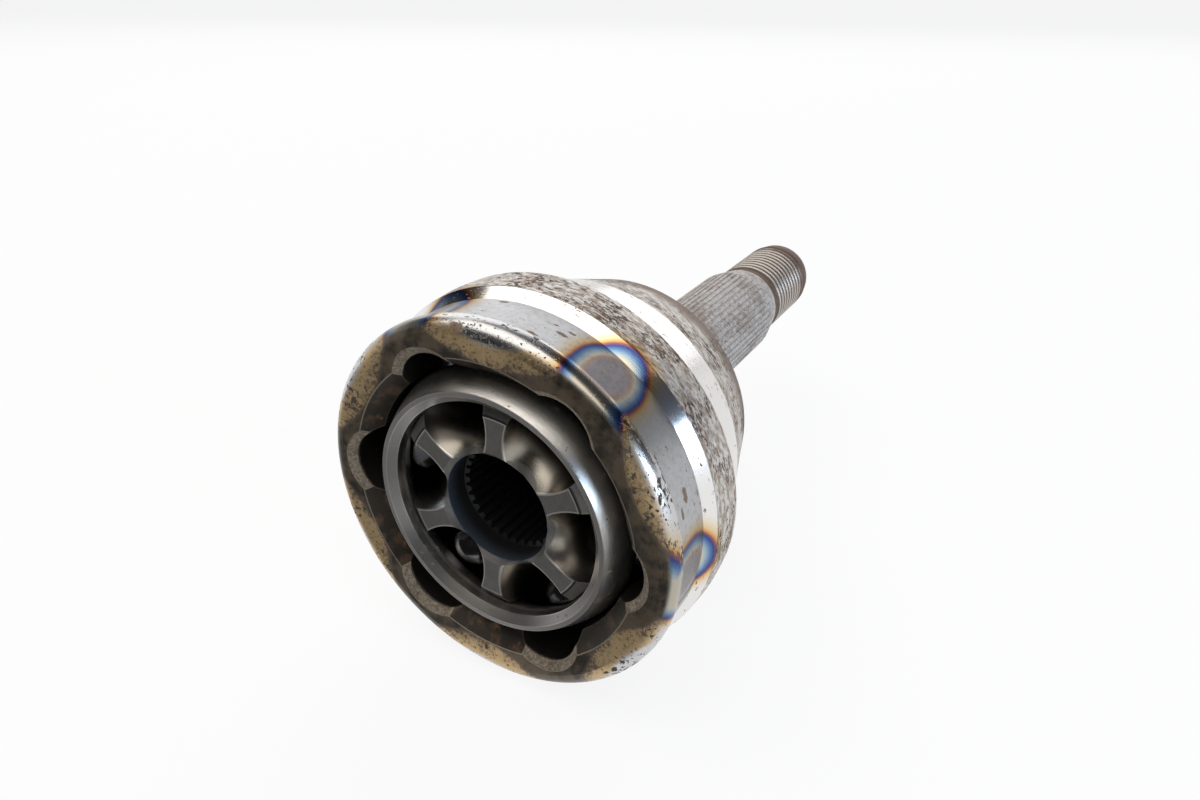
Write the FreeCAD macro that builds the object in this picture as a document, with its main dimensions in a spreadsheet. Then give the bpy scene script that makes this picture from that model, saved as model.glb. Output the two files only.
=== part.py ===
import FreeCAD, Part
import math
import os

# Fixed constant-velocity joint for the wheel end of a drive shaft.
#
# The joint turns about +Y.  The origin is the joint centre: the point that the inner race
# and the cage swing about.  The bell's mouth faces -Y and its splined stub points to +Y.
# Six balls run in six curved tracks.  The tracks of the outer race are arcs about a point
# a little nearer the mouth than the joint centre, and those of the inner race are arcs about
# a point as far on the other side, so that the balls always stay in the plane that halves
# the bend.  All lengths are millimetres and all angles degrees.
#
# Every piece is modelled with its first track on +Z.  Its Placement then turns it about +Y
# by "clocking_angle".

SIZES = {
    # balls and track geometry
    "ball_dia": 18.0,
    "track_count": 6,
    "clocking_angle": 35.0,
    "ball_circle_radius": 30.0,
    "track_offset": 3.2,
    "track_clearance": 0.2,
    "outer_track_sweep_angle": 100.0,
    "inner_track_sweep_angle": 120.0,
    # running gaps between the ball-shaped surfaces
    "sphere_clearance": 0.3,
    # cage: its wall outside and inside the circle of the balls, and its rim beside the windows
    "cage_wall_outside": 3.4,
    "cage_wall_inside": 1.1,
    "cage_rim_width": 7.4,
    "cage_entry_step": 2.9,
    "cage_rim_land": 1.1,
    "cage_chamfer_depth": 1.7,
    "window_axial_clearance": 0.5,
    "window_swing_room": 1.6,
    "window_corner": 4.0,
    # inner race
    "race_half_width": 14.5,
    "race_land_bevel": 1.7,
    "race_chamfer_depth": 1.8,
    "race_bore_radius": 13.1,
    "race_bore_chamfer": 1.2,
    "race_counterbore_depth": 7.0,
    "race_spline_root_step": 0.2,
    "race_spline_depth": 0.9,
    "race_spline_teeth": 33,
    # bell, from the mouth to the back; its walls stand outside the bottoms of the tracks
    "mouth_front": 17.5,
    "nose_round": 4.0,
    "nose_wall": 5.1,
    "nose_back": 12.9,
    "mouth_face_width": 4.2,
    "mouth_face_dish": 0.6,
    "mouth_slope_depth": 4.0,
    "land_edge": 9.0,
    "track_bevel": 2.2,
    "boot_seat_wall": 4.3,
    "boot_seat_edge": 0.5,
    "boot_seat_back": 1.8,
    "step_back": 1.0,
    "band_front_wall": 6.3,
    "band_wall": 6.6,
    "band_middle": 6.0,
    "band_back": 10.7,
    # back of the bell; its walls stand outside the cavity's ball surface
    "shoulder_back": 16.0,
    "shoulder_wall": 6.7,
    "neck_back": 27.3,
    "neck_wall": 5.1,
    "dome_back": 45.5,
    "dome_taper": 5.6,
    "dome_corner": 4.5,
    "cavity_depth": 30.0,
    # stub shaft
    "seat_face": 53.5,
    "seat_face_radius": 21.5,
    "seat_face_chamfer": 1.2,
    "dome_foot_radius": 24.5,
    "journal_radius": 15.5,
    "journal_fillet": 0.8,
    "journal_back": 68.0,
    "journal_chamfer": 0.8,
    "spline_radius": 13.8,
    "spline_depth": 0.35,
    "spline_teeth": 48,
    "spline_start": 70.0,
    "spline_end": 116.6,
    "taper_end": 126.2,
    "taper_end_radius": 12.0,
    "undercut_radius": 10.9,
    "undercut_bevel": 0.4,
    "cut_allowance": 1.0,
    "thread_start": 128.0,
    "thread_core_radius": 11.4,
    "stub_end": 165.5,
    "stub_end_round": 6.5,
}

doc = FreeCAD.newDocument("cv_joint")
sheet = doc.addObject("Spreadsheet::Sheet", "Sizes")
for row, (name, number) in enumerate(SIZES.items(), start=1):
    sheet.set("A%d" % row, name)
    sheet.set("B%d" % row, str(number))
    sheet.setAlias("B%d" % row, name)
doc.recompute()


class Size:
    """A length or angle that knows its number and the sheet formula it comes from."""

    def __init__(self, number, formula):
        self.number = number
        self.formula = formula

    @staticmethod
    def of(other):
        return other if isinstance(other, Size) else Size(float(other), repr(float(other)))

    def __add__(self, other):
        other = Size.of(other)
        return Size(self.number + other.number, "(%s + %s)" % (self.formula, other.formula))

    def __sub__(self, other):
        other = Size.of(other)
        return Size(self.number - other.number, "(%s - %s)" % (self.formula, other.formula))

    def __mul__(self, other):
        other = Size.of(other)
        return Size(self.number * other.number, "(%s * %s)" % (self.formula, other.formula))

    def __truediv__(self, other):
        other = Size.of(other)
        return Size(self.number / other.number, "(%s / %s)" % (self.formula, other.formula))

    def __neg__(self):
        return Size(-self.number, "(0 - %s)" % self.formula)

    def __radd__(self, other):
        return Size.of(other) + self

    def __rsub__(self, other):
        return Size.of(other) - self

    def __rmul__(self, other):
        return Size.of(other) * self

    def __rtruediv__(self, other):
        return Size.of(other) / self


def size(name):
    """The sheet's value of that name."""
    return Size(float(sheet.get(name)), "Sizes.%s" % name)


def root(value):
    """Square root of a Size."""
    return Size(math.sqrt(value.number), "sqrt(%s)" % value.formula)


def sine(angle):
    """Sine of a Size in degrees."""
    return Size(math.sin(math.radians(angle.number)), "sin(%s)" % angle.formula)


def cosine(angle):
    """Cosine of a Size in degrees."""
    return Size(math.cos(math.radians(angle.number)), "cos(%s)" % angle.formula)


def leg(hypotenuse, side):
    """The other short side of a right triangle."""
    return root(hypotenuse * hypotenuse - side * side)


# Derived sizes that more than one piece uses.
ball_radius = size("ball_dia") / 2
ball_circle = size("ball_circle_radius")
track_radius = root(ball_circle * ball_circle + size("track_offset") * size("track_offset"))
track_bottom = ball_circle + ball_radius
groove_radius = ball_radius + size("track_clearance")
cage_outer_radius = ball_circle + size("cage_wall_outside")
cage_inner_radius = ball_circle - size("cage_wall_inside")
cage_half_width = ball_radius + size("window_axial_clearance") + size("cage_rim_width")
race_radius = cage_inner_radius - size("sphere_clearance")
cavity_radius = cage_outer_radius + size("sphere_clearance")
NOTHING = Size(0.0, "0")


def origin_feature(body, role):
    """The body's own origin plane or axis with that role."""
    for feature in body.Origin.OriginFeatures:
        if feature.Role == role:
            return feature
    raise RuntimeError("no origin feature %s" % role)


def new_body(label):
    """An empty body, turned about +Y by the clocking angle."""
    body = doc.addObject("PartDesign::Body", label)
    body.Label = label
    body.Placement = FreeCAD.Placement(FreeCAD.Vector(0, 0, 0),
                                       FreeCAD.Rotation(FreeCAD.Vector(0, 1, 0),
                                                        size("clocking_angle").number))
    body.setExpression("Placement.Rotation.Angle", "Sizes.clocking_angle")
    return body


def new_sketch(body, label, role, offset=None, lift=None):
    """A sketch on one of the body's origin planes.

    It is moved along the plane's normal by offset, and along the sketch's own up by lift.
    """
    sketch = body.newObject("Sketcher::SketchObject", label)
    sketch.AttachmentSupport = [(origin_feature(body, role), "")]
    sketch.MapMode = "FlatFace"
    if offset is not None:
        sketch.AttachmentOffset = FreeCAD.Placement(FreeCAD.Vector(0, 0, offset.number),
                                                    FreeCAD.Rotation())
        sketch.setExpression("AttachmentOffset.Base.z", offset.formula)
    if lift is not None:
        sketch.AttachmentOffset = FreeCAD.Placement(FreeCAD.Vector(0, lift.number, 0),
                                                    FreeCAD.Rotation())
        sketch.setExpression("AttachmentOffset.Base.y", lift.formula)
    return sketch


def constrain(sketch, kind, *arguments):
    """A constraint whose last argument is a Size, bound to the sheet."""
    value = arguments[-1]
    index = sketch.addConstraint(Sketcher.Constraint(kind, *arguments[:-1], value.number))
    sketch.setExpression("Constraints[%d]" % index, value.formula)
    return index


def place_point(sketch, geometry, end, across, along):
    """Fixes one end of a curve at (across, along) from the sketch's origin."""
    if across is NOTHING:
        sketch.addConstraint(Sketcher.Constraint("PointOnObject", geometry, end, -2))
    else:
        constrain(sketch, "DistanceX", -1, 1, geometry, end, across)
    if along is NOTHING:
        sketch.addConstraint(Sketcher.Constraint("PointOnObject", geometry, end, -1))
    else:
        constrain(sketch, "DistanceY", -1, 1, geometry, end, along)


def outline(sketch, stations):
    """A closed outline.

    Each station is (across, along) or (across, along, arc): its point, and when there is an
    arc to the next point, a tuple (radius, centre across, centre along, turns left).
    """
    count = len(stations)
    ends = []
    for index, station in enumerate(stations):
        following = stations[(index + 1) % count]
        start = FreeCAD.Vector(station[0].number, station[1].number, 0)
        stop = FreeCAD.Vector(following[0].number, following[1].number, 0)
        if len(station) == 2:
            geometry = sketch.addGeometry(Part.LineSegment(start, stop), False)
            ends.append((geometry, 1, 2, None))
            continue
        radius, middle_across, middle_along, turns_left = station[2]
        middle = FreeCAD.Vector(middle_across.number, middle_along.number, 0)
        first, last = (start, stop) if turns_left else (stop, start)
        from_angle = math.atan2(first.y - middle.y, first.x - middle.x)
        to_angle = math.atan2(last.y - middle.y, last.x - middle.x)
        circle = Part.Circle(middle, FreeCAD.Vector(0, 0, 1), radius.number)
        geometry = sketch.addGeometry(Part.ArcOfCircle(circle, from_angle, to_angle), False)
        ends.append((geometry, 1, 2, radius) if turns_left else (geometry, 2, 1, radius))
    for index in range(count):
        geometry, _, stop_end, _ = ends[index]
        next_geometry, start_end, _, _ = ends[(index + 1) % count]
        sketch.addConstraint(Sketcher.Constraint("Coincident", geometry, stop_end,
                                                 next_geometry, start_end))
    for station, (geometry, start_end, _, radius) in zip(stations, ends):
        place_point(sketch, geometry, start_end, station[0], station[1])
        if radius is not None:
            constrain(sketch, "Radius", geometry, radius)


def revolve(body, kind, sketch, axis, label, angle=None):
    """A Revolution or Groove of the sketch: all round, or half of the angle each way."""
    feature = body.newObject("PartDesign::" + kind, label)
    feature.Profile = sketch
    feature.ReferenceAxis = (sketch, [axis])
    feature.Angle = 360.0
    if angle is not None:
        feature.Angle = angle.number
        feature.setExpression("Angle", angle.formula)
        feature.Midplane = True
    doc.recompute()
    return feature


def around(body, originals, count, label):
    """Copies of the features, evenly spaced about the joint's axis."""
    pattern = body.newObject("PartDesign::PolarPattern", label)
    pattern.Originals = originals
    pattern.Axis = (origin_feature(body, "Y_Axis"), [""])
    pattern.Angle = 360.0
    pattern.Occurrences = int(count.number)
    pattern.setExpression("Occurrences", count.formula)
    body.Tip = pattern
    doc.recompute()
    return pattern


def must_cut(body, before, label):
    """Stops the build when the last cut took nothing away."""
    if body.Shape.Volume > before - 1.0:
        raise RuntimeError("%s cut nothing" % label)


def cut_tracks(body, label, centre, sweep):
    """Six ball tracks: a ball's section turned about a centre on the joint's axis.

    centre is where that centre lies along +Y.  The section stands on the plane through the
    centre, square to the joint's axis, and turns about the sketch's own axis across it.
    """
    before = body.Shape.Volume
    sketch = new_sketch(body, label + "_section", "XZ_Plane", -centre)
    circle = Part.Circle(FreeCAD.Vector(0, track_radius.number, 0), FreeCAD.Vector(0, 0, 1),
                         groove_radius.number)
    geometry = sketch.addGeometry(circle, False)
    constrain(sketch, "Radius", geometry, groove_radius)
    place_point(sketch, geometry, 3, NOTHING, track_radius)
    doc.recompute()
    groove = revolve(body, "Groove", sketch, "H_Axis", label, size(sweep))
    must_cut(body, before, label)
    return groove


def cut_splines(body, label, from_radius, to_radius, teeth, start, stop, outward):
    """Tooth spaces along +Y from start to stop, narrow at to_radius, wide at from_radius."""
    before = body.Shape.Volume
    sketch = new_sketch(body, label + "_space", "XZ_Plane", -start)
    over = size("cut_allowance") / 2 if outward else -(size("cut_allowance") / 2)
    pitch = 360.0 / teeth
    wide = from_radius * sine(pitch * 0.36)
    narrow = to_radius * sine(pitch * 0.14)
    edge = from_radius + over
    outline(sketch, [(narrow, to_radius), (wide, edge), (-wide, edge), (-narrow, to_radius)])
    doc.recompute()
    pocket = body.newObject("PartDesign::Pocket", label + "_cut")
    pocket.Profile = sketch
    pocket.Length = (stop - start).number
    pocket.setExpression("Length", (stop - start).formula)
    pocket.Reversed = False
    doc.recompute()
    if abs(before - body.Shape.Volume) < 1.0:
        pocket.Reversed = True
        doc.recompute()
    must_cut(body, before, label)
    around(body, [pocket], teeth, label)
    return pocket


def build_outer_race():
    """The bell with its tracks and, in one forging with it, the splined stub shaft."""
    body = new_body("outer_race")
    sketch = new_sketch(body, "bell_section", "XY_Plane")
    front = -size("mouth_front")
    nose_radius = track_bottom + size("nose_wall")
    nose_across = nose_radius - size("nose_round")
    boot_seat_radius = track_bottom + size("boot_seat_wall")
    band_front_radius = track_bottom + size("band_front_wall")
    neck_radius = cavity_radius + size("neck_wall")
    dome_back_radius = neck_radius - size("dome_taper")
    nose_along = front + size("nose_round")
    face_inner = front + size("mouth_face_dish")
    entry_radius = leg(cavity_radius, size("land_edge"))
    boot_front = -size("nose_back") + size("boot_seat_edge")
    land_edge = -size("land_edge")
    depth = size("cavity_depth")
    round_across = size("thread_core_radius") - size("stub_end_round")
    round_along = size("stub_end") - size("stub_end_round")
    corner = size("dome_corner")
    fillet = size("journal_fillet")
    journal = size("journal_radius")
    outline(sketch, [
        # cavity, from its floor to the mouth
        (NOTHING, depth),
        (leg(cavity_radius, depth), depth, (cavity_radius, NOTHING, NOTHING, False)),
        (entry_radius, land_edge),
        (entry_radius, face_inner + size("mouth_slope_depth")),
        (nose_across - size("mouth_face_width"), face_inner),
        (nose_across, front, (size("nose_round"), nose_across, nose_along, True)),
        # outside, from the nose to the back of the bell
        (nose_radius, nose_along),
        (nose_radius, -size("nose_back")),
        (boot_seat_radius, boot_front),
        (boot_seat_radius, -size("boot_seat_back")),
        (band_front_radius, size("step_back")),
        (track_bottom + size("band_wall"), size("band_middle")),
        (band_front_radius, size("band_back")),
        (cavity_radius + size("shoulder_wall"), size("shoulder_back")),
        (neck_radius, size("neck_back")),
        (dome_back_radius, size("dome_back")),
        (dome_back_radius - corner, size("dome_back") + corner * 0.7),
        (size("dome_foot_radius"), size("seat_face") - size("seat_face_chamfer") * 2),
        (size("seat_face_radius"), size("seat_face") - size("seat_face_chamfer")),
        (size("seat_face_radius") - size("seat_face_chamfer"), size("seat_face")),
        # stub shaft: journal, splines, taper, undercut, thread core, rounded end
        (journal + fillet, size("seat_face"),
         (fillet, journal + fillet, size("seat_face") + fillet, False)),
        (journal, size("seat_face") + fillet),
        (journal, size("journal_back") - size("journal_chamfer")),
        (journal - size("journal_chamfer"), size("journal_back")),
        (size("spline_radius"), size("spline_start")),
        (size("spline_radius"), size("spline_end")),
        (size("taper_end_radius"), size("taper_end")),
        (size("undercut_radius"), size("taper_end") + size("undercut_bevel")),
        (size("undercut_radius"), size("thread_start") - size("undercut_bevel")),
        (size("thread_core_radius"), size("thread_start")),
        (size("thread_core_radius"), round_along,
         (size("stub_end_round"), round_across, round_along, True)),
        (round_across, size("stub_end")),
        (NOTHING, size("stub_end")),
    ])
    doc.recompute()
    revolve(body, "Revolution", sketch, "V_Axis", "bell")
    track = cut_tracks(body, "outer_track", -size("track_offset"), "outer_track_sweep_angle")
    # Each track opens at the mouth with a ground bevel.
    before = body.Shape.Volume
    lead = size("track_bevel")
    exit_across = leg(track_radius, front + lead + size("track_offset"))
    reach = lead * 2
    bevel = new_sketch(body, "track_lead_section", "YZ_Plane", lift=exit_across)
    outline(bevel, [
        (front - reach, NOTHING),
        (front - reach, groove_radius + lead + reach),
        (front + lead, groove_radius),
        (front + lead, NOTHING),
    ])
    doc.recompute()
    bevel_cut = revolve(body, "Groove", bevel, "H_Axis", "track_lead")
    must_cut(body, before, "track_lead")
    around(body, [track, bevel_cut], size("track_count"), "outer_tracks")
    cut_splines(body, "stub_spline", size("spline_radius"),
                size("spline_radius") - size("spline_depth"), size("spline_teeth"),
                size("spline_start"), size("spline_end") + size("cut_allowance") * 2, True)
    return body


def build_cage():
    """The ball cage: a ring between two ball surfaces, with a window for each ball."""
    body = new_body("cage")
    sketch = new_sketch(body, "cage_section", "XY_Plane")
    edge = cage_half_width
    outer = cage_outer_radius
    rim = leg(outer, edge)
    entry = cage_inner_radius - size("cage_entry_step")
    entry_edge = edge - size("cage_chamfer_depth")
    sphere_edge = leg(cage_inner_radius, entry)
    land = size("cage_rim_land")
    outline(sketch, [
        (rim, -edge, (outer, NOTHING, NOTHING, True)),
        (rim, edge),
        (rim - land, edge),
        (entry, entry_edge),
        (entry, sphere_edge, (cage_inner_radius, NOTHING, NOTHING, False)),
        (entry, -sphere_edge),
        (entry, -entry_edge),
        (rim - land, -edge),
    ])
    doc.recompute()
    revolve(body, "Revolution", sketch, "V_Axis", "ring")
    before = body.Shape.Volume
    window = new_sketch(body, "window_outline", "XY_Plane")
    half_long = ball_radius + size("window_swing_room")
    half_wide = ball_radius + size("window_axial_clearance")
    corner = size("window_corner")
    near_across = half_long - corner
    near_along = half_wide - corner
    outline(window, [
        (half_long, -near_along),
        (half_long, near_along, (corner, near_across, near_along, True)),
        (near_across, half_wide),
        (-near_across, half_wide, (corner, -near_across, near_along, True)),
        (-half_long, near_along),
        (-half_long, -near_along, (corner, -near_across, -near_along, True)),
        (-near_across, -half_wide),
        (near_across, -half_wide, (corner, near_across, -near_along, True)),
    ])
    doc.recompute()
    cut = body.newObject("PartDesign::Pocket", "window")
    cut.Profile = window
    cut.Length = (outer + size("cut_allowance")).number
    cut.setExpression("Length", (outer + size("cut_allowance")).formula)
    cut.Reversed = True
    doc.recompute()
    must_cut(body, before, "window")
    if body.Shape.CenterOfGravity.z > 0.0:
        cut.Reversed = False
        doc.recompute()
    around(body, [cut], size("track_count"), "windows")
    return body


def build_inner_race():
    """The inner race: ball surface outside, six tracks, splined bore for the drive shaft."""
    body = new_body("inner_race")
    sketch = new_sketch(body, "race_section", "XY_Plane")
    edge = size("race_half_width")
    shoulder = edge - size("race_chamfer_depth")
    tip = leg(race_radius, edge) - size("race_land_bevel")
    bore = size("race_bore_radius")
    spline_root = bore - size("race_spline_root_step")
    minor = spline_root - size("race_spline_depth")
    chamfer = size("race_bore_chamfer")
    counterbore = size("race_counterbore_depth") - edge
    outline(sketch, [
        (bore + chamfer, -edge),
        (tip, -edge),
        (leg(race_radius, shoulder), -shoulder, (race_radius, NOTHING, NOTHING, True)),
        (leg(race_radius, shoulder), shoulder),
        (tip, edge),
        (minor + chamfer, edge),
        (minor, edge - chamfer),
        (minor, counterbore + (bore - minor) * 0.5),
        (bore, counterbore),
        (bore, chamfer - edge),
    ])
    doc.recompute()
    revolve(body, "Revolution", sketch, "V_Axis", "race")
    track = cut_tracks(body, "inner_track", size("track_offset"), "inner_track_sweep_angle")
    around(body, [track], size("track_count"), "inner_tracks")
    cut_splines(body, "bore_spline", minor, spline_root, size("race_spline_teeth"),
                counterbore - size("cut_allowance") / 10, edge + size("cut_allowance"), False)
    return body


def build_ball(number):
    """One ball, in the plane across the joint's centre."""
    ball = doc.addObject("Part::Sphere", "ball_%d" % number)
    ball.Label = "ball_%d" % number
    ball.setExpression("Radius", ball_radius.formula)
    turn = size("clocking_angle") + 360.0 * (number - 1) / size("track_count")
    across = ball_circle * sine(turn)
    up = ball_circle * cosine(turn)
    ball.Placement = FreeCAD.Placement(FreeCAD.Vector(across.number, 0, up.number),
                                       FreeCAD.Rotation())
    ball.setExpression("Placement.Base.x", across.formula)
    ball.setExpression("Placement.Base.z", up.formula)
    return ball


import Sketcher

pieces = [build_outer_race(), build_cage(), build_inner_race()]
for ball_number in range(1, SIZES["track_count"] + 1):
    pieces.append(build_ball(ball_number))
doc.recompute()

for item in doc.Objects:
    if "Invalid" in item.State or "Error" in item.State:
        raise RuntimeError("%s failed: %s" % (item.Label, item.State))
os.makedirs("parts", exist_ok=True)
for piece in pieces:
    if piece.Shape.isNull() or not piece.Shape.isValid():
        raise RuntimeError("%s has no valid shape" % piece.Label)
    if len(piece.Shape.Solids) != 1:
        raise RuntimeError("%s is %d solids" % (piece.Label, len(piece.Shape.Solids)))
    box = piece.Shape.BoundBox
    print("%-12s volume %9.1f  x %.2f..%.2f  y %.2f..%.2f  z %.2f..%.2f"
          % (piece.Label, piece.Shape.Volume, box.XMin, box.XMax, box.YMin, box.YMax,
             box.ZMin, box.ZMax))
for piece in pieces:
    piece.Shape.exportStep("parts/%s.step" % piece.Label)
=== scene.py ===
"""Dresses a packed constant velocity joint: steels, thread, floor, light and camera."""

import math

import bpy
import numpy as np
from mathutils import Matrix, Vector


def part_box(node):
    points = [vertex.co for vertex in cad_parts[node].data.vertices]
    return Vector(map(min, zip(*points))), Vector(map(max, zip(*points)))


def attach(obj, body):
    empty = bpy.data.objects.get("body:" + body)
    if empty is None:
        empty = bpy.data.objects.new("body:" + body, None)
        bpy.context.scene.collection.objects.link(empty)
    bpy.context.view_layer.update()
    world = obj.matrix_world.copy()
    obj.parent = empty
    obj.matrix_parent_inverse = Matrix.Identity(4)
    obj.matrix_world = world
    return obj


bl_info = {
    "name": "CV Joint Finish",
    "version": (1, 0, 0),
    "blender": (4, 5, 0),
    "location": "3D View > Sidebar > CV Joint",
    "description": "Steels, heat tint, forging skin, rust and thread of a CV joint",
    "category": "Object",
}

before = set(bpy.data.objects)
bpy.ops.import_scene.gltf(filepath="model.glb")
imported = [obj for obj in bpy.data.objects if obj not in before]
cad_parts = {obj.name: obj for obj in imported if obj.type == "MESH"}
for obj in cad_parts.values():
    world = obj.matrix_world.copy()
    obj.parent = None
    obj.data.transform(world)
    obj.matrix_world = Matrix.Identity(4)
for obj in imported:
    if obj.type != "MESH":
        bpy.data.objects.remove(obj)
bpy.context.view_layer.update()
bell_low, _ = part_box("outer_race")

MM = 0.001
WARM = (1.0, 0.96, 0.90)
COOL = (0.58, 0.76, 1.0)

# Ball tracks: azimuth of the first and step to the next in degrees, the shift of
# their arc's centre, the arc's radius and the groove's radius in millimetres.
TRACK_AZIMUTH = 35.0
TRACK_STEP = 60.0
TRACK_SHIFT = 3.2
GROOVE_ARC = 30.17
GROOVE_RADIUS = 9.2

# Tones that go with the colours a user sets.
TURNED_DULL = (0.50, 0.50, 0.51)
GROOVE_DULL = (0.36, 0.355, 0.35)
STEP_BRIGHT = (0.80, 0.79, 0.78)
BAND_BRIGHT = (0.74, 0.72, 0.70)
FORGED_BROWN = (0.30, 0.24, 0.19)
DOME_BROWN = (0.21, 0.15, 0.115)
STUB_GREY = (0.53, 0.505, 0.485)
STUB_DARK = (0.36, 0.325, 0.295)
STUB_BLOOM = (0.24, 0.175, 0.14)
UNDERCUT_RUST = (0.10, 0.06, 0.042)
CORE_BROWN = (0.17, 0.115, 0.08)
TIP_BROWN = (0.085, 0.055, 0.040)
STRAW_BROWN = (0.10, 0.062, 0.036)
OXIDE_BROWN = (0.135, 0.105, 0.072)
SLOPE_RUST = (0.13, 0.085, 0.055)
BEVEL_PALE = (0.38, 0.32, 0.25)
BEVEL_DARK = (0.18, 0.145, 0.105)
# A painted highlight on the edge of the mouth's slope.
MOUTH_EDGE_PAINTED_HIGHLIGHT = (0.34, 0.30, 0.24)
# Painted shade over the tracks and bore inside the mouth, in two tones.
TRACK_PAINTED_SHADE = (0.030, 0.028, 0.025)
TRACK_PAINTED_SHADE_BROWN = (0.06, 0.05, 0.04)
PIT_RUST = (0.17, 0.095, 0.055)
BLOTCH_RUST = (0.16, 0.095, 0.045)
FACE_PIT = (0.08, 0.06, 0.045)
CAGE_DULL = (0.62, 0.60, 0.56)
CAGE_FRONT_DARK = (0.31, 0.30, 0.29)
CAGE_FRONT_PALE = (0.42, 0.40, 0.375)
# A painted highlight on the edges of the cage's front.
CAGE_EDGE_HIGHLIGHT = (0.62, 0.60, 0.57)
CAGE_RUST = (0.22, 0.15, 0.10)
# Painted shade on the cage where it sits inside the bell.
CAGE_PAINTED_SHADE = (0.10, 0.095, 0.09)
LAND_DARK = (0.18, 0.172, 0.165)
RACE_GROOVE_GREY = (0.28, 0.27, 0.25)
RACE_GROOVE_WARM = (0.40, 0.35, 0.28)
# Painted shade deeper in the inner race's grooves.
RACE_GROOVE_PAINTED_SHADE = (0.10, 0.095, 0.085)
# A painted highlight on the edges of the race's lands.
LAND_EDGE_HIGHLIGHT = (0.55, 0.53, 0.49)
# Painted shade on the lands' outer chamfer.
LAND_END_PAINTED_SHADE = (0.03, 0.028, 0.026)
# Painted shade in the race's bore.
SOCKET_PAINTED_SHADE = (0.05, 0.05, 0.05)
# A painted bluish reflection on the wall of the bore.
SOCKET_PAINTED_REFLECTION = (0.16, 0.19, 0.24)
# Painted shade on the balls inside the joint.
BALL_PAINTED_SHADE = (0.16, 0.16, 0.17)
THREAD_DARK = (0.10, 0.065, 0.045)
THREAD_BROWN = (0.17, 0.12, 0.09)
CREST_DULL = (0.36, 0.33, 0.30)
CREST_BRIGHT = (0.46, 0.42, 0.38)
THREAD_TIP = (0.13, 0.080, 0.060)

# Bands of the bell and the stub along the joint axis, in millimetres.
BOOT_GROOVE = (-12.6, -1.8)
BRIGHT_STEP = (-1.8, 1.0)
FORGED_BAND = (1.0, 10.7)
SECOND_BAND = (10.7, 27.3)
DOME = (27.3, 53.6)
STUB_START = (53.4, 54.4)
UNDERCUT = (126.4, 128.4)
THREAD_CORE = (128.4, 160.5)
STUB_TIP = (160.5, 161.5)

# Radii of the bell's mouth, in millimetres.
TRACK_MOUTH = (40.3, 39.9)
BORE_RADIUS = (34.4, 34.1)
SLOPE_RADIUS = 36.0

# Rings on the front of the cage and of the inner race that carry painted highlights,
# and the ring where painted shade starts at the lands' outer ends, in millimetres.
CAGE_HIGHLIGHT_RINGS = ((28.72, 29.0), (27.6, 27.78), (25.7, 26.12))
LAND_HIGHLIGHT_RING = (22.55, 22.8)
LAND_END_SHADE_RING = (22.8, 22.9)

# The heat oval behind each track: its place along the axis, then how far it reaches
# back, to the front and across, in millimetres.
OVAL_PLACE = -7.5
OVAL_BACK = 8.5
OVAL_FRONT = 14.6
OVAL_ACROSS = 8.0

# Heat tint starts this far outside an edge and ends this far inside, in millimetres.
HEAT_OUTSIDE = 4.0
HEAT_INSIDE = 6.0

# Streaks on turned and forged steel are this much shorter along the axis.
FLATTEN = 2.4

# The side of the mouth that is pitted most, as shares of +X and +Z.
WORN_SIDE = (0.906, 0.423)

# Across the thread's ridge: places in shares of the pitch, and shares of its height.
RIDGE_ACROSS = (-0.46, -0.17, 0.17, 0.46)
RIDGE_HEIGHT = (0.0, 1.0, 1.0, 0.0)
RIDGE_PER_TURN = 72
RIDGE_LEAST = 0.02

# The camera: place in metres, angles in degrees and lens in millimetres.
CAMERA_PLACE = (0.096402, -0.134201, 0.106122)
CAMERA_DOWN = 27.561
CAMERA_TURN = 30.270
CAMERA_LENS = 25.8

# Rust blotches of the boot groove and the nose: centre and reach in millimetres.
RUST_BLOTCHES = (
    ((41.1, -7.0, 13.7), 3.6),
    ((41.9, -9.5, 10.8), 2.4),
    ((13.7, -6.8, 41.1), 2.6),
    ((14.8, -4.8, 40.7), 1.8),
    ((9.9, -11.2, 42.8), 2.6),
    ((-2.6, -2.8, 43.2), 2.2),
    ((-4.1, -16.4, 41.9), 4.0),
)


class Value:
    """A socket of a finish, so that a pattern can be written as an expression."""

    def __init__(self, finish, socket):
        self.finish = finish
        self.socket = socket

    def math(self, operation, *others):
        """A Math node on this value and the others."""
        return self.finish.math(operation, self, *others)

    def __add__(self, other):
        return self.math("ADD", other)

    __radd__ = __add__

    def __sub__(self, other):
        return self.math("SUBTRACT", other)

    def __rsub__(self, other):
        return self.finish.math("SUBTRACT", other, self)

    def __mul__(self, other):
        return self.math("MULTIPLY", other)

    __rmul__ = __mul__

    def __truediv__(self, other):
        return self.math("DIVIDE", other)

    def __rtruediv__(self, other):
        return self.finish.math("DIVIDE", other, self)

    def __abs__(self):
        return self.math("ABSOLUTE")

    def root(self):
        """The square root."""
        return self.math("SQRT")

    def least(self, other):
        """The smaller of two values."""
        return self.math("MINIMUM", other)

    def most(self, other):
        """The larger of two values."""
        return self.math("MAXIMUM", other)

    def rise(self, low, high):
        """Nought below low, one above high, smooth between. Low above high falls."""
        sockets = {"Value": self, "From Min": low, "From Max": high}
        kind = {"interpolation_type": "SMOOTHSTEP"}
        node = self.finish.node("ShaderNodeMapRange", kind, sockets)
        return Value(self.finish, node.outputs["Result"])

    def between(self, low, high, soft):
        """One from low to high, fading over soft at each end."""
        return self.rise(low - soft, low + soft) * self.rise(high + soft, high - soft)


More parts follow.
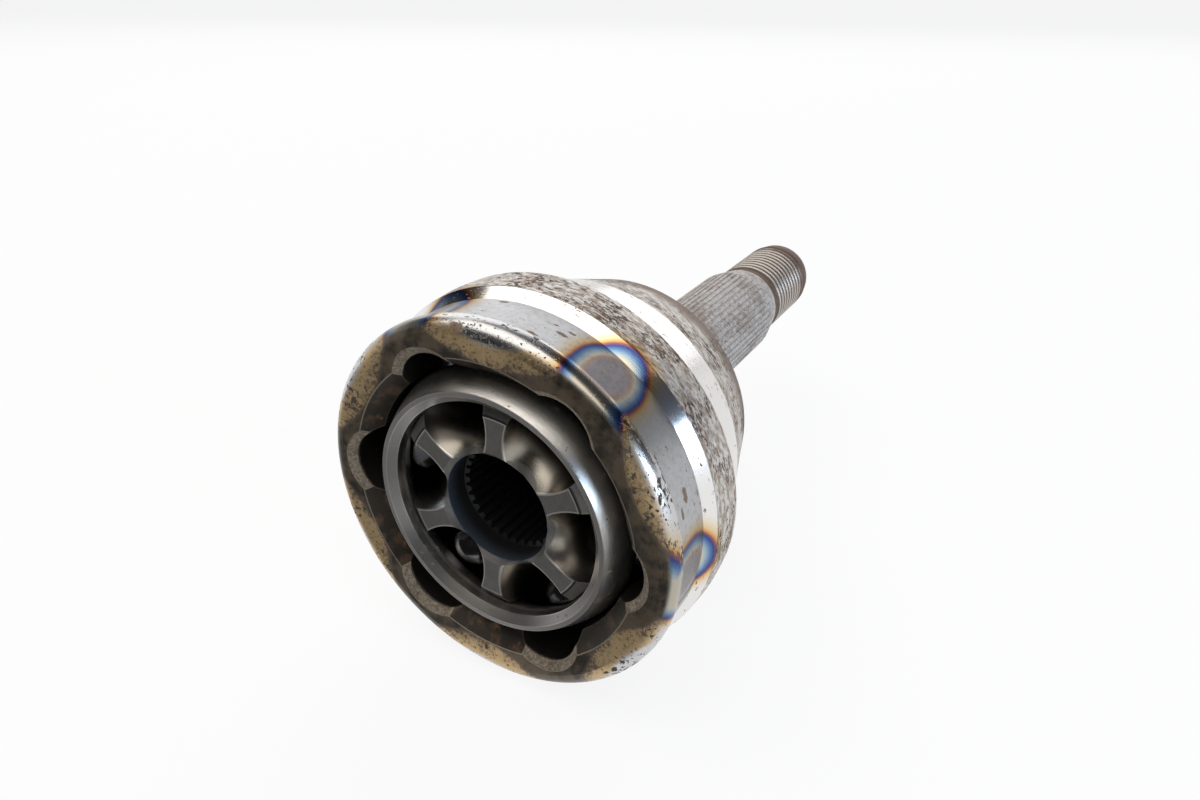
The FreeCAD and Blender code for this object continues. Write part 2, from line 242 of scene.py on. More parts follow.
class Finish:
    """A material or a world whose nodes are added by expressions and by one method."""

    def __init__(self, name, library=None):
        library = bpy.data.materials if library is None else library
        self.material = library.new(name)
        self.material.use_nodes = True
        self.tree = self.material.node_tree
        self.tree.nodes.clear()

    def node(self, kind, settings=None, sockets=None):
        """Adds a node, sets it up, then fills or links its sockets."""
        node = self.tree.nodes.new(kind)
        for name, setting in (settings or {}).items():
            if name == "stops":
                self.fill_ramp(node.color_ramp, setting)
            else:
                setattr(node, name, setting)
        for key, given in (sockets or {}).items():
            if isinstance(given, Value):
                self.tree.links.new(given.socket, node.inputs[key])
            else:
                node.inputs[key].default_value = given
        return node

    @staticmethod
    def fill_ramp(ramp, stops):
        """Puts (place, colour) stops on a colour ramp."""
        while len(ramp.elements) < len(stops):
            ramp.elements.new(1.0)
        for element, (place, colour) in zip(ramp.elements, stops):
            element.position = place
            element.color = (*colour, 1.0)

    def math(self, operation, *given):
        """A Math node on values and numbers."""
        sockets = dict(enumerate(given))
        node = self.node("ShaderNodeMath", {"operation": operation}, sockets)
        return Value(self, node.outputs[0])

    def place(self):
        """Object coordinates in millimetres, and their three parts."""
        raw = self.node("ShaderNodeTexCoord").outputs["Object"]
        grown = self.vector("SCALE", Value(self, raw), Scale=1 / MM)
        parts = self.node("ShaderNodeSeparateXYZ", None, {0: grown})
        return grown, [Value(self, socket) for socket in parts.outputs]

    def vector(self, operation, *given, **named):
        """A Vector Math node."""
        sockets = {**dict(enumerate(given)), **named}
        node = self.node("ShaderNodeVectorMath", {"operation": operation}, sockets)
        return Value(self, node.outputs["Vector"])

    def join(self, x, y, z):
        """One vector from three values."""
        node = self.node("ShaderNodeCombineXYZ", None, {0: x, 1: y, 2: z})
        return Value(self, node.outputs[0])

    def noise(self, where, size, detail=3.0, roughness=0.55):
        """Cloudy noise about 0.5, with features of about size in millimetres."""
        sockets = {
            "Vector": where,
            "Scale": 1.0 / size,
            "Detail": detail,
            "Roughness": roughness,
        }
        node = self.node("ShaderNodeTexNoise", None, sockets)
        return Value(self, node.outputs["Fac"])

    def blotch(self, where, centre, reach):
        """One at a centre, falling to nought at a reach in millimetres."""
        settings = {"operation": "DISTANCE"}
        node = self.node("ShaderNodeVectorMath", settings, {0: where, 1: centre})
        return Value(self, node.outputs["Value"]).rise(reach, 0.0)

    def seen_plainly(self):
        """Masks of what the camera sees, and of what it, gloss or glass sees."""
        path = self.node("ShaderNodeLightPath")
        camera = Value(self, path.outputs["Is Camera Ray"])
        seen = camera.most(Value(self, path.outputs["Is Glossy Ray"]))
        return camera, seen.most(Value(self, path.outputs["Is Transmission Ray"]))

    def ramp(self, value, stops):
        """A colour that follows a value from nought to one."""
        node = self.node("ShaderNodeValToRGB", {"stops": stops}, {"Fac": value})
        return Value(self, node.outputs["Color"])

    def mix(self, share, first, second, kind="MIX"):
        """A blend of two colours."""
        first, second = (
            c if isinstance(c, Value) else (*c, 1.0) for c in (first, second)
        )
        settings = {"data_type": "RGBA", "blend_type": kind}
        node = self.node("ShaderNodeMix", settings, {0: share, 6: first, 7: second})
        return Value(self, node.outputs[2])

    def bump(self, height, depth, under=None):
        """A normal pushed in and out by a height, depth in millimetres."""
        sockets = {"Height": height, "Distance": depth * MM, "Strength": 1.0}
        if under is not None:
            sockets["Normal"] = under
        node = self.node("ShaderNodeBump", None, sockets)
        return Value(self, node.outputs["Normal"])

    def shader(self, kind, sockets):
        """A shader node."""
        return Value(self, self.node(kind, None, sockets).outputs[0])

    def output(self, shader, kind="ShaderNodeOutputMaterial"):
        """Links a shader to the output."""
        self.node(kind, None, {"Surface": shader})
        return self.material

    def shade(self, coat, normal=None):
        """The surface shader and the output."""
        sockets = {
            "Base Color": coat.colour,
            "Roughness": coat.roughness,
            "Metallic": coat.metal,
        }
        if normal is not None:
            sockets["Normal"] = normal
        return self.output(self.shader("ShaderNodeBsdfPrincipled", sockets))


class Coat:
    """Colour, roughness and metal of a surface, laid on layer by layer."""

    def __init__(self, finish, colour, roughness, metal):
        self.finish = finish
        self.colour = colour
        self.roughness = roughness
        self.metal = metal

    def lay(self, mask, colour=None, roughness=None, metal=None):
        """Covers the coat with another where the mask is one."""
        if colour is not None:
            self.colour = self.finish.mix(mask, self.colour, colour)
        if roughness is not None:
            self.roughness = self.roughness + mask * (roughness - self.roughness)
        if metal is not None:
            self.metal = self.metal + mask * (metal - self.metal)


class TurnedPlace:
    """Where a point is on a part turned about the joint axis, in millimetres."""

    def __init__(self, finish, track_shift):
        self.point, (x, y, z) = finish.place()
        self.along = y
        self.radius = (x * x + z * z).root()
        azimuth = x.math("ARCTAN2", z) * math.degrees(1.0)
        turned = azimuth + (TRACK_STEP / 2 - TRACK_AZIMUTH)
        folded = turned.math("FLOORED_MODULO", TRACK_STEP) - TRACK_STEP / 2
        self.from_track = abs(folded)
        angle = folded * math.radians(1.0)
        self.sideways = abs(self.radius * angle.math("SINE"))
        outward = self.radius * angle.math("COSINE")
        lengthwise = y - track_shift
        reach = (outward * outward + lengthwise * lengthwise).root() - GROOVE_ARC
        tube = (reach * reach + self.sideways * self.sideways).root()
        self.from_groove = tube - GROOVE_RADIUS
        self.flat = finish.vector("MULTIPLY", self.point, (1.0, FLATTEN, 1.0))
        self.rightward = (x * WORN_SIDE[0] + z * WORN_SIDE[1]) / self.radius
        self.rings = finish.join(self.radius, y, 0.0)


def colour_setting(name, description, default):
    """A colour that a user may change."""
    return bpy.props.FloatVectorProperty(
        name=name,
        description=description,
        default=default,
        subtype="COLOR",
        size=3,
        min=0.0,
        max=1.0,
    )


def length_setting(name, description, default):
    """A length in metres that a user may change."""
    return bpy.props.FloatProperty(
        name=name, description=description, default=default, unit="LENGTH", precision=5
    )


def power_setting(name, description, default):
    """The power of a light in watts."""
    return bpy.props.FloatProperty(
        name=name, description=description, default=default, unit="POWER"
    )


class SteelSettings(bpy.types.PropertyGroup):
    """Colours of the joint's steels, oxide and rust."""

    turned: colour_setting("Turned steel", "Freshly cut steel", (0.66, 0.65, 0.64))
    groove: colour_setting("Boot groove", "Satin boot groove", (0.44, 0.44, 0.45))
    forged: colour_setting("Forging skin", "Rough forged skin", (0.66, 0.63, 0.60))
    oxide: colour_setting("Mouth oxide", "Oxide of the mouth", (0.042, 0.035, 0.028))
    straw: colour_setting("Straw", "Gold patches on the mouth", (0.56, 0.39, 0.19))
    rust: colour_setting("Rust", "Rust specks and blotches", (0.20, 0.095, 0.045))
    pit: colour_setting("Pits", "Bottom of the pits", (0.085, 0.060, 0.045))
    cage: colour_setting("Cage", "Cage steel", (0.86, 0.84, 0.80))
    race: colour_setting("Race lands", "Ends of the inner race", (0.21, 0.205, 0.195))
    # The ball steel is darkened as painted shade of the joint's inside.
    ball: colour_setting("Ball", "Polished ball steel", (0.24, 0.24, 0.25))


class ThreadSettings(bpy.types.PropertyGroup):
    """Sizes of the stub's thread."""

    core: length_setting("Core radius", "Radius under the thread", 0.01135)
    crest: length_setting("Crest radius", "Radius over the thread", 0.0120)
    pitch: length_setting("Pitch", "Distance between turns", 0.0025)
    start: length_setting("Start", "Where the thread starts along the joint", 0.1283)
    end: length_setting("End", "Where the thread ends along the joint", 0.1588)


class StageSettings(bpy.types.PropertyGroup):
    """Sizes of the floor and strengths of the light."""

    floor: length_setting("Floor size", "Half the width of the floor", 6.0)
    back: power_setting("Back light", "Power of the light behind", 17.0)
    overhead: power_setting("Overhead light", "Power of the overhead light", 21.0)
    side: power_setting("Side light", "Power of the side light", 9.0)


def tint_place(depth):
    """Where a depth inside the heated edge lies on the tint's ramp, nought to one."""
    return (depth + HEAT_OUTSIDE) * (1 / (HEAT_OUTSIDE + HEAT_INSIDE))


def temper_stops():
    """Heat tint, from bare steel outside over straw and blue to grey inside."""
    stops = (
        (-HEAT_OUTSIDE, (1.0, 1.0, 1.0)),
        (-2.4, (0.98, 0.88, 0.72)),
        (-1.2, (0.92, 0.70, 0.42)),
        (-0.6, (0.80, 0.42, 0.15)),
        (-0.2, (0.36, 0.14, 0.16)),
        (0.3, (0.06, 0.09, 0.30)),
        (1.0, (0.14, 0.27, 0.52)),
        (1.8, (0.42, 0.54, 0.64)),
        (2.6, (0.78, 0.71, 0.56)),
        (3.4, (0.58, 0.43, 0.35)),
        (4.4, (0.43, 0.39, 0.41)),
        (HEAT_INSIDE, (0.40, 0.385, 0.39)),
    )
    return [(tint_place(depth), colour) for depth, colour in stops]


def bell_finish(steel):
    """The outer race: turned bands, forging skin, heat tint, mouth oxide and rust, with
    painted shade inside the mouth and a painted highlight on the slope's edge.
    """
    finish = Finish("bell_heat_tinted_steel")
    at = TurnedPlace(finish, -TRACK_SHIFT)
    y, r = at.along, at.radius
    cloud = finish.noise(at.point, 14.0)
    patch = finish.noise(at.point, 5.0, 4.0, 0.6)
    grain = finish.noise(at.point, 0.5, 2.0)
    rings = finish.noise(at.rings, 0.22, 2.0)
    wander = finish.noise(at.point, 16.0, 1.0) - 0.5

    # The surfaces of the mouth: tracks, bore, bevels, slope and face.
    lip = r.rise(*TRACK_MOUTH)
    bevel = (at.from_groove + y).rise(-15.0, -15.15) * lip
    unbevelled = 1.0 - bevel
    track = at.from_groove.rise(0.30, 0.15) * lip * unbevelled
    bore = r.rise(*BORE_RADIUS) * y.between(-12.9, 35.0, 0.1)
    inside = track.most(bore) * y.rise(38.0, 36.0)
    outside = 1.0 - inside
    slope = r.rise(SLOPE_RADIUS + 0.05, SLOPE_RADIUS - 0.1)
    slope = slope * y.rise(-12.75, -12.95) * outside * unbevelled
    mouth = y.rise(-14.0, -16.0) * r.rise(44.4, 43.4)

    # Turned bands.
    turned = finish.mix(cloud, steel.turned, TURNED_DULL)
    coat = Coat(finish, turned, cloud * 0.16 + 0.18, 1.0)
    mottle = finish.noise(at.point, 1.2, 5.0, 0.7)
    seat = finish.mix(mottle.rise(0.42, 0.75), steel.groove, GROOVE_DULL)
    coat.lay(y.between(*BOOT_GROOVE, 0.12), seat, mottle * 0.25 + 0.22)
    coat.lay(y.between(*BRIGHT_STEP, 0.08), STEP_BRIGHT, 0.15)
    polish = mottle * 0.12 + 0.10
    coat.lay(y.between(*SECOND_BAND, 0.1), BAND_BRIGHT, polish)

    # Forging skin, and the stub with its brown bloom.
    skin = y.between(*FORGED_BAND, 0.12).most(y.between(*DOME, 0.3))
    blot = finish.noise(at.point, 9.0, 5.0, 0.65)
    shade = finish.noise(at.flat, 2.6, 5.0, 0.7)
    forged = finish.mix(shade.rise(0.38, 0.62), steel.forged, FORGED_BROWN)
    coat.lay(skin, forged, 0.40, 0.85)
    browned = (y.rise(30.0, 50.0) + blot * 0.6).rise(0.5, 1.1)
    coat.lay(skin * browned, DOME_BROWN, 0.6, 0.35)
    stub = y.rise(*STUB_START)
    darker = mottle.rise(0.35, 0.7)
    grainy = finish.mix(darker, STUB_GREY, STUB_DARK)
    coat.lay(stub, grainy, 0.65, 0.25)
    bloom = stub * (blot * 0.6 + mottle * 0.4).rise(0.46, 0.60) * 0.7
    coat.lay(bloom, STUB_BLOOM, 0.65, 0.2)
    coat.lay(y.between(*UNDERCUT, 0.3), UNDERCUT_RUST, 0.7, 0.2)
    coat.lay(y.between(*THREAD_CORE, 0.3), CORE_BROWN, 0.6, 0.4)
    coat.lay(y.rise(*STUB_TIP), TIP_BROWN, 0.6, 0.3)

    # Heat tint: an oval behind each track, joined to the oxide of the mouth.
    behind = y - OVAL_PLACE
    long = (behind / OVAL_BACK).most(behind / -OVAL_FRONT)
    wide = at.sideways / OVAL_ACROSS
    oval = 1.0 - (long * long + wide * wide).root() - wander * 0.25
    oval = oval * OVAL_ACROSS
    from_land = (TRACK_STEP / 2 - at.from_track) / 21.0
    shore = from_land * from_land * 5.8 + 35.5 + wander * 3.0
    shore = shore + at.rightward.rise(0.84, 0.97) * 3.6
    face_heat = (shore - r).least((-14.2 - y) * 2.4)
    heat = oval.most(face_heat).least(y.rise(-13.8, -12.6) * 4.0 + 2.5)
    temper = finish.ramp(tint_place(heat), temper_stops())
    flat_face = y.rise(-16.0, -17.2) * outside
    tinted = outside * y.rise(6.0, 2.0) * (1.0 - flat_face)
    coat.colour = finish.mix(tinted, coat.colour, temper, "MULTIPLY")

    # Gold on the outer face, dark oxide within it, granular bevels, a painted highlight
    # on the slope's edge and painted shade over the tracks and bore inside.
    speckle = finish.noise(at.point, 0.9, 3.0, 0.65)
    pits = finish.noise(at.flat, 1.5, 4.0, 0.62)
    gold = y.rise(-15.4, -17.0) * outside * heat.between(-5.5, 0.5, 0.6)
    browner = (patch * 0.45 + speckle * 0.55 - heat * 0.03).rise(0.43, 0.62)
    browner = browner * heat.rise(0.2, -1.0)
    straw = finish.mix(browner, STRAW_BROWN, steel.straw)
    coat.lay(gold * 0.92, straw, 0.38, 0.85)
    dark = y.rise(-15.6, -16.8) * r.rise(43.6, 42.6) * heat.rise(-0.4, 0.5) * outside
    streak = (patch * 0.85 + rings * 0.15).rise(0.40, 0.62)
    oxide = finish.mix(streak, steel.oxide, OXIDE_BROWN)
    coat.lay(dark, oxide, patch * 0.4 + 0.12, 0.75)
    rusty = finish.mix(patch.rise(0.5, 0.7), steel.oxide, SLOPE_RUST)
    coat.lay(slope, rusty, 0.4, 0.8)
    granular = (speckle * 0.6 + grain * 0.4).rise(0.35, 0.62)
    granules = finish.mix(granular, BEVEL_PALE, BEVEL_DARK)
    coat.lay(bevel, granules, 0.5, 0.7)
    # Painted highlight: a thin bright line on the edge between the face and the slope.
    edge = r.between(SLOPE_RADIUS - 0.15, SLOPE_RADIUS + 0.1, 0.06)
    edge = edge * y.rise(-16.0, -16.6) * unbevelled
    coat.lay(edge, MOUTH_EDGE_PAINTED_HIGHLIGHT, 0.3, 0.9)
    # Painted shade: the tracks and bore inside the mouth are coloured near black.
    inside_painted_shade = finish.mix(patch, TRACK_PAINTED_SHADE, TRACK_PAINTED_SHADE_BROWN)
    coat.lay(inside, inside_painted_shade, 0.36, 0.7)

    # Pits and rust.
    clump = finish.noise(at.point, 8.0, 3.0)
    fine_pits = finish.noise(at.flat, 0.7, 3.0, 0.6)
    hollow = (pits * 0.65 + fine_pits * 0.35 + clump * 0.5).rise(0.795, 0.835)
    pitted = skin * hollow
    rusted_pit = finish.mix(patch.rise(0.44, 0.58), steel.pit, PIT_RUST)
    coat.lay(pitted, rusted_pit, 0.75, 0.25)
    speck = finish.noise(at.flat, 1.7, 3.0, 0.6)
    turned_side = outside * y.rise(30.0, 26.0) * (1.0 - mouth * 0.8)
    spotted = speck.rise(0.62, 0.66) * patch.rise(0.46, 0.56) * turned_side
    coat.lay(spotted, steel.rust, 0.7, 0.2)
    stain = 0.0
    for (x, along, z), reach in RUST_BLOTCHES:
        near = finish.blotch(at.flat, (x, along * FLATTEN, z), reach)
        stain = near.most(stain)
    stain = (stain + (mottle - 0.5) * 1.2).rise(0.42, 0.62)
    coat.lay(stain * 0.85, BLOTCH_RUST, 0.6, 0.3)
    face_pits = mouth * speckle.rise(0.61, 0.66) * heat.rise(1.0, -0.5) * outside
    worst = at.rightward.rise(0.80, 0.97) * 0.10
    nose = (pits + clump * 0.8 + worst).rise(1.03, 1.08) * y.rise(-11.5, -12.5)
    face_pits = face_pits.most(nose * outside * heat.rise(0.5, -1.0))
    coat.lay(face_pits, FACE_PIT, 0.7, 0.4)

    turning = finish.bump(rings, 0.010)
    hammered = finish.noise(at.flat, 1.9, 5.0, 0.6) * skin + grain * bevel * 0.4
    normal = finish.bump(hammered, 0.22, turning)
    normal = finish.bump(1.0 - pitted.most(face_pits * 0.5), 0.12, normal)
    return finish.shade(coat, normal)


def cage_finish(steel):
    """The cage: ground steel, brushed round, with painted highlights on its edges, a
    bloom of rust and painted shade where it sits inside the bell.
    """
    finish = Finish("cage_ground_steel")
    at = TurnedPlace(finish, 0.0)
    r = at.radius
    patch = finish.noise(at.point, 4.0, 4.0, 0.6)
    fine = finish.noise(at.point, 0.35, 2.0)
    rings = finish.noise(at.rings, 0.25, 2.0)
    ground = finish.mix(patch, steel.cage, CAGE_DULL)
    coat = Coat(finish, ground, patch * 0.2 + 0.24, 1.0)
    front = at.along.rise(-13.4, -13.8)
    ring = finish.mix(patch, CAGE_FRONT_DARK, CAGE_FRONT_PALE)
    coat.lay(r.rise(28.9, 28.8) * front, ring, 0.36)
    # Painted highlights: thin bright rings on the edges of the cage's front.
    edges = 0.0
    for low, high in CAGE_HIGHLIGHT_RINGS:
        edges = r.between(low, high, 0.05).most(edges)
    coat.lay(edges * front * (patch * 0.6 + 0.4), CAGE_EDGE_HIGHLIGHT, 0.25)
    bloom = finish.noise(at.point, 1.2, 3.0, 0.6).rise(0.60, 0.68)
    coat.lay(bloom * patch.rise(0.5, 0.62), CAGE_RUST, 0.6, 0.4)
    # Painted shade: the cage is darkened where it sits inside the bell.
    inside_bell_shade = at.along.rise(-12.0, -9.0) * at.along.rise(16.0, 12.0)
    coat.lay(inside_bell_shade, CAGE_PAINTED_SHADE)
    normal = finish.bump(rings, 0.02)
    normal = finish.bump(fine, 0.03, normal)
    return finish.shade(coat, normal)


def race_finish(steel):
    """The inner race: matte lands, polished grooves, painted edge highlights, painted
    shade in its recesses and a painted bluish reflection in the bore.
    """
    finish = Finish("race_steel")
    at = TurnedPlace(finish, TRACK_SHIFT)
    patch = finish.noise(at.point, 3.5, 4.0, 0.6)
    fine = finish.noise(at.point, 0.3, 2.0)
    scuff = finish.noise(at.point, 1.0, 4.0, 0.65)
    matte = finish.mix(scuff.rise(0.3, 0.7), steel.race, LAND_DARK)
    coat = Coat(finish, matte, 0.42, 0.9)
    groove = at.from_groove.rise(0.12, 0.05) * at.radius.rise(14.2, 14.6)
    polished = finish.mix(patch, RACE_GROOVE_GREY, RACE_GROOVE_WARM)
    coat.lay(groove, polished, 0.26, 1.0)
    # Painted shade: the grooves darken further into the joint.
    back = at.along.rise(-12.0, -6.0)
    coat.lay(groove * back, RACE_GROOVE_PAINTED_SHADE)
    end = at.along.rise(-14.1, -14.4)
    # Painted highlights: thin bright lines on the edges of the lands and grooves.
    edge = end * at.from_groove.rise(0.34, 0.2)
    edge = edge.most(end * at.radius.between(*LAND_HIGHLIGHT_RING, 0.06))
    coat.lay(edge, LAND_EDGE_HIGHLIGHT, 0.3, 1.0)
    # Painted shade: the chamfer at the lands' outer ends starts dark, standing in for
    # the shade in the gap behind them.
    coat.lay(end * at.radius.rise(*LAND_END_SHADE_RING), LAND_END_PAINTED_SHADE, 0.5, 0.7)
    # Painted shade: the bore is coloured near black.
    bore = at.radius.rise(13.3, 13.1) * at.along.rise(-14.4, -14.2)
    coat.lay(bore, SOCKET_PAINTED_SHADE, 0.34, 0.8)
    # Painted reflection: the bore's wall near its mouth is bluish grey.
    coat.lay(bore * at.along.rise(-9.0, -14.0), SOCKET_PAINTED_REFLECTION)
    normal = finish.bump(fine, 0.015)
    return finish.shade(coat, normal)


def ball_finish(steel):
    """The balls: polished, darkened with painted shade."""
    finish = Finish("ball_polished_steel")
    at = TurnedPlace(finish, 0.0)
    smear = finish.noise(at.point, 5.0, 3.0)
    # Painted shade: the balls are darkened as in the shade inside the joint.
    dark = finish.mix(smear, steel.ball, BALL_PAINTED_SHADE)
    return finish.shade(Coat(finish, dark, smear * 0.1 + 0.12, 1.0))


def thread_finish():
    """The thread: worn steel crests, brown flanks and a rusted end."""
    finish = Finish("thread_steel")
    at = TurnedPlace(finish, 0.0)
    patch = finish.noise(at.point, 4.0, 4.0, 0.6)
    crest = at.radius.rise(11.75, 11.92)
    brown = finish.mix(patch, THREAD_DARK, THREAD_BROWN)
    coat = Coat(finish, brown, 0.55, 0.5)
    worn = finish.mix(patch, CREST_DULL, CREST_BRIGHT)
    coat.metal = crest * 0.4 + 0.5
    coat.roughness = crest * -0.2 + 0.55
    coat.lay(crest, worn)
    end = (at.along + patch * 6.0).rise(153.0, 157.0)
    coat.lay(end, THREAD_TIP, 0.5, 0.5)
    return finish.shade(coat)


def helix_ridge(core, crest, start, end, pitch):
    """Vertices and faces of one closed screw ridge.

    A point turns about the joint axis as it moves along it, one pitch to a turn.
    Across, the ridge goes from its root to its crest and back. Its crest grows from
    the root over the first turn and sinks back over the last one.
    """
    turns = (end - start) / pitch
    count = int(turns * RIDGE_PER_TURN)
    turn = np.linspace(0.0, turns, count)[:, None]
    angle = turn * 2 * math.pi
    grown = np.clip(np.minimum(turn, turns - turn), RIDGE_LEAST, 1.0)
    radius = core + np.array(RIDGE_HEIGHT) * grown * (crest - core)
    along = start + (turn + np.array(RIDGE_ACROSS)) * pitch
    points = np.stack([radius * np.sin(angle), along, radius * np.cos(angle)], -1)
    corners = len(RIDGE_ACROSS)
    here = np.arange(count - 1)[:, None] * corners + np.arange(corners)
    beside = np.roll(here, -1, axis=1)
    sides = np.stack([here, here + corners, beside + corners, beside], -1)
    first = np.arange(corners)
    caps = np.array([first, first[::-1] + (count - 1) * corners])
    return points.reshape(-1, 3), np.concatenate([sides.reshape(-1, corners), caps])


def put_mesh(name, points, faces, material, body, slot):
    """Makes a mesh object that rides on a body and takes the given material."""
    mesh = bpy.data.meshes.new(name)
    mesh.from_pydata(points.tolist(), [], faces.tolist())
    mesh.validate()
    mesh.materials.append(material)
    piece = bpy.data.objects.new(name, mesh)
    bpy.context.scene.collection.objects.link(piece)
    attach(piece, body)


def coat_nodes(names, material):
    """Gives frame nodes one material."""
    for name in names:
        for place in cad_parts[name].material_slots:
            place.material = material


class CVJOINT_OT_bell(bpy.types.Operator):
    """Finish the outer race"""

    bl_idname = "cvjoint.bell"
    bl_label = "Outer Race"

    def execute(self, context):
        coat_nodes(["outer_race"], bell_finish(context.scene.cv_steel))
        return {"FINISHED"}


class CVJOINT_OT_cage(bpy.types.Operator):
    """Finish the ball cage"""

    bl_idname = "cvjoint.cage"
    bl_label = "Cage"

    def execute(self, context):
        coat_nodes(["cage"], cage_finish(context.scene.cv_steel))
        return {"FINISHED"}


class CVJOINT_OT_race(bpy.types.Operator):
    """Finish the inner race"""

    bl_idname = "cvjoint.race"
    bl_label = "Inner Race"

    def execute(self, context):
        coat_nodes(["inner_race"], race_finish(context.scene.cv_steel))
        return {"FINISHED"}


class CVJOINT_OT_balls(bpy.types.Operator):
    """Finish the six balls"""

    bl_idname = "cvjoint.balls"
    bl_label = "Balls"

    def execute(self, context):
        names = [f"ball_{i}" for i in range(1, 7)]
        coat_nodes(names, ball_finish(context.scene.cv_steel))
        return {"FINISHED"}


class CVJOINT_OT_thread(bpy.types.Operator):
    """Cut the thread of the stub"""

    bl_idname = "cvjoint.thread"
    bl_label = "Stub Thread"

    def execute(self, context):
        cut = context.scene.cv_thread
        ridge = helix_ridge(cut.core, cut.crest, cut.start, cut.end, cut.pitch)
        put_mesh("stub_thread_ridge", *ridge, thread_finish(), "bell", "bell_steel")
        return {"FINISHED"}


def level_corners(west, east, near, far, height):
    """Corners of a level sheet."""
    ends = ((west, near), (east, near), (east, far), (west, far))
    return [(x, y, height) for x, y in ends]


def upright_corners(west, east, place, low, high):
    """Corners of a sheet that stands across the view at a place along Y."""
    ends = ((west, low), (east, low), (east, high), (west, high))
    return [(x, place, z) for x, z in ends]


def sheet(name, corners, material):
    """A flat sheet with four corners."""
    mesh = bpy.data.meshes.new(name)
    mesh.from_pydata(corners, [], [(0, 1, 2, 3)])
    mesh.materials.append(material)
    made = bpy.data.objects.new(name, mesh)
    bpy.context.scene.collection.objects.link(made)
    return made


def card(name, corners, shade):
    """A grey card that only reflections see."""
    finish = Finish(name)
    grey = finish.shader("ShaderNodeBsdfDiffuse", {"Color": (shade, shade, shade, 1.0)})
    made = sheet(name, corners, finish.output(grey))
    made.visible_camera = False
    made.visible_shadow = False
    made.visible_diffuse = False


def area_light(name, where, aim, width, height, power, colour=(1.0, 1.0, 1.0)):
    """A soft rectangular light that points at aim."""
    lamp = bpy.data.lights.new(name, "AREA")
    lamp.shape = "RECTANGLE"
    lamp.size = width
    lamp.size_y = height
    lamp.energy = power
    lamp.color = colour
    light = bpy.data.objects.new(name, lamp)
    light.location = where
    toward = np.array(aim, float) - np.array(where, float)
    light.rotation_mode = "QUATERNION"
    light.rotation_quaternion = Vector(toward).to_track_quat("-Z", "Y")
    bpy.context.scene.collection.objects.link(light)


def floor_finish():
    """A pale floor that looks white to the camera and in reflections, shadow kept."""
    finish = Finish("floor_pale")
    plain = finish.shader("ShaderNodeBsdfDiffuse", {"Color": (0.86, 0.86, 0.86, 1.0)})
    glow = finish.shader("ShaderNodeEmission", {"Strength": 1.0})
    _, seen = finish.seen_plainly()
    both = finish.shader("ShaderNodeMixShader", {0: seen * 0.86, 1: plain, 2: glow})
    return finish.output(both)


def set_world():
    """Dim room light; a white backdrop, dark overhead where only reflections look."""
    finish = Finish("studio", bpy.data.worlds)
    bpy.context.scene.world = finish.material
    direction = finish.node("ShaderNodeTexCoord").outputs["Generated"]
    parts = finish.node("ShaderNodeSeparateXYZ", None, {0: Value(finish, direction)})
    white, dark = (1.0, 1.0, 1.0), (0.05, 0.05, 0.06)
    stops = [(0.0, white), (0.1, white), (0.3, dark)]
    around = finish.ramp(Value(finish, parts.outputs["Z"]), stops)
    camera, seen = finish.seen_plainly()
    backdrop = finish.mix(camera, around, white)
    bright = finish.shader("ShaderNodeBackground", {"Color": backdrop})
    dim_light = {"Color": (0.9, 0.95, 1.0, 1.0), "Strength": 0.30}
    dim = finish.shader("ShaderNodeBackground", dim_light)
    both = finish.shader("ShaderNodeMixShader", {0: seen, 1: dim, 2: bright})
    finish.output(both, "ShaderNodeOutputWorld")


def place_camera():
    """The camera, looking down at the mouth from its right."""
    lens = bpy.data.cameras.new("camera")
    lens.lens = CAMERA_LENS
    lens.sensor_width = 36.0
    lens.clip_start = 0.01
    lens.clip_end = 50.0
    camera = bpy.data.objects.new("camera", lens)
    camera.location = CAMERA_PLACE
    tilt, turn = math.radians(90.0 - CAMERA_DOWN), math.radians(CAMERA_TURN)
    camera.rotation_euler = (tilt, 0.0, turn)
    bpy.context.scene.collection.objects.link(camera)
    bpy.context.scene.camera = camera


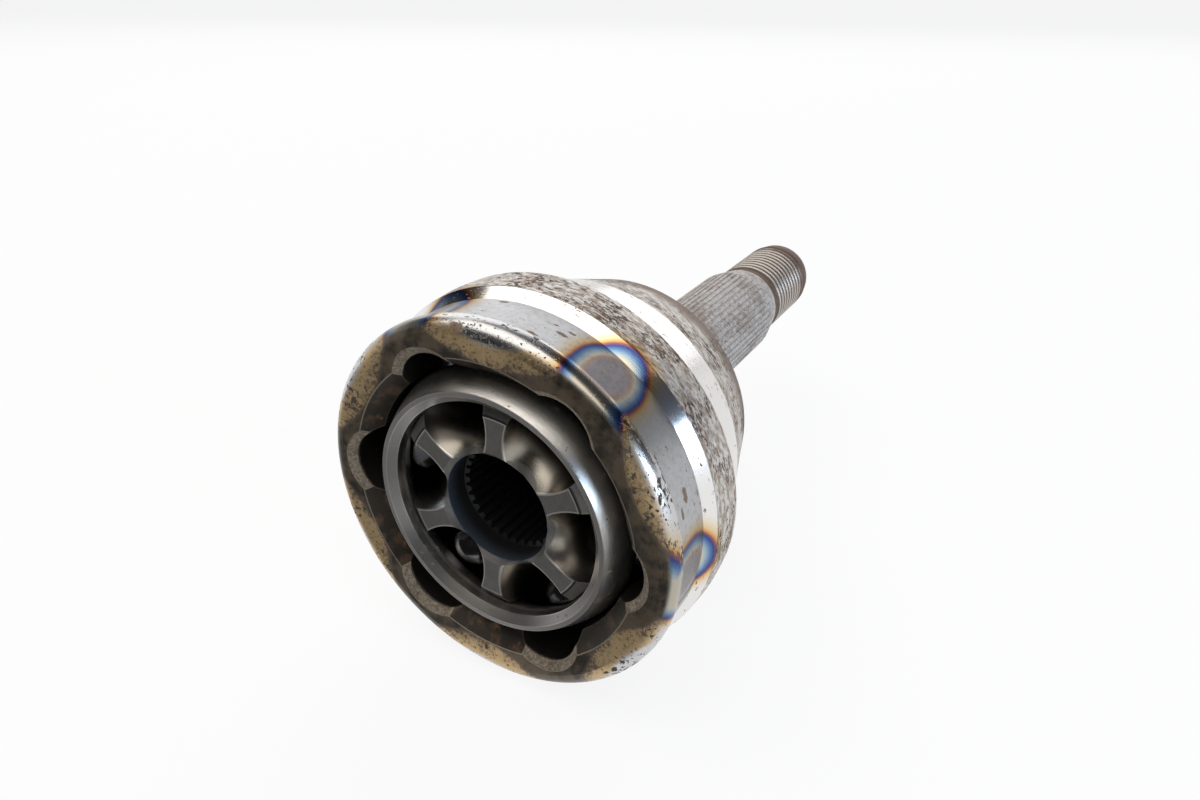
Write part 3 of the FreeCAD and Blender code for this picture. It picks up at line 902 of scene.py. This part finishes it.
class CVJOINT_OT_stage(bpy.types.Operator):
    """Lay the floor, set the lights and place the camera"""

    bl_idname = "cvjoint.stage"
    bl_label = "Stage"

    def execute(self, context):
        stage = context.scene.cv_stage
        level = bell_low.z
        half = stage.floor
        corners = level_corners(-half, half, -half, half, level)
        floor = sheet("floor", corners, floor_finish())
        set_world()
        aim = (0.0, 0.03, 0.0)
        area_light("back", (-0.45, 1.4, 0.95), aim, 3.0, 1.2, stage.back)
        overhead = (-0.25, -0.50, 1.45)
        area_light("overhead", overhead, aim, 3.1, 1.1, stage.overhead, WARM)
        area_light("side", (1.45, -0.12, 0.34), aim, 0.7, 0.45, stage.side, COOL)
        card("card_front", upright_corners(-1.8, 1.4, -1.1, level, 1.4), 0.02)
        just_above = level + 0.0005
        below = level_corners(-0.6, 0.12, -1.1, -0.03, just_above)
        card("card_below", below, 0.30)
        card("card_beyond", upright_corners(0.85, 1.7, 1.1, 0.28, 0.9), 0.02)
        place_camera()
        context.scene.view_settings.view_transform = "Standard"
        return {"FINISHED"}


class CVJOINT_PT_panel(bpy.types.Panel):
    """Lists the joint's settings and operators"""

    bl_label = "CV Joint"
    bl_idname = "CVJOINT_PT_panel"
    bl_space_type = "VIEW_3D"
    bl_region_type = "UI"
    bl_category = "CV Joint"

    def draw(self, context):
        for setting, kind in SETTINGS.items():
            for name in kind.__annotations__:
                self.layout.prop(getattr(context.scene, setting), name)
        for operator in OPERATORS:
            self.layout.operator(operator.bl_idname)


SETTINGS = {
    "cv_steel": SteelSettings,
    "cv_thread": ThreadSettings,
    "cv_stage": StageSettings,
}
OPERATORS = (
    CVJOINT_OT_bell,
    CVJOINT_OT_cage,
    CVJOINT_OT_race,
    CVJOINT_OT_balls,
    CVJOINT_OT_thread,
    CVJOINT_OT_stage,
)


def register():
    """Adds the classes and the scene's settings."""
    for made in (*SETTINGS.values(), *OPERATORS, CVJOINT_PT_panel):
        bpy.utils.register_class(made)
    for name, group in SETTINGS.items():
        setattr(bpy.types.Scene, name, bpy.props.PointerProperty(type=group))


def unregister():
    """Takes them out again."""
    for name in SETTINGS:
        delattr(bpy.types.Scene, name)
    for made in (CVJOINT_PT_panel, *OPERATORS[::-1], *SETTINGS.values()):
        bpy.utils.unregister_class(made)


def main():
    """Builds the dressed joint."""
    register()
    bpy.ops.cvjoint.stage()
    bpy.ops.cvjoint.bell()
    bpy.ops.cvjoint.cage()
    bpy.ops.cvjoint.race()
    bpy.ops.cvjoint.balls()
    bpy.ops.cvjoint.thread()


if __name__ == "__main__":
    main()
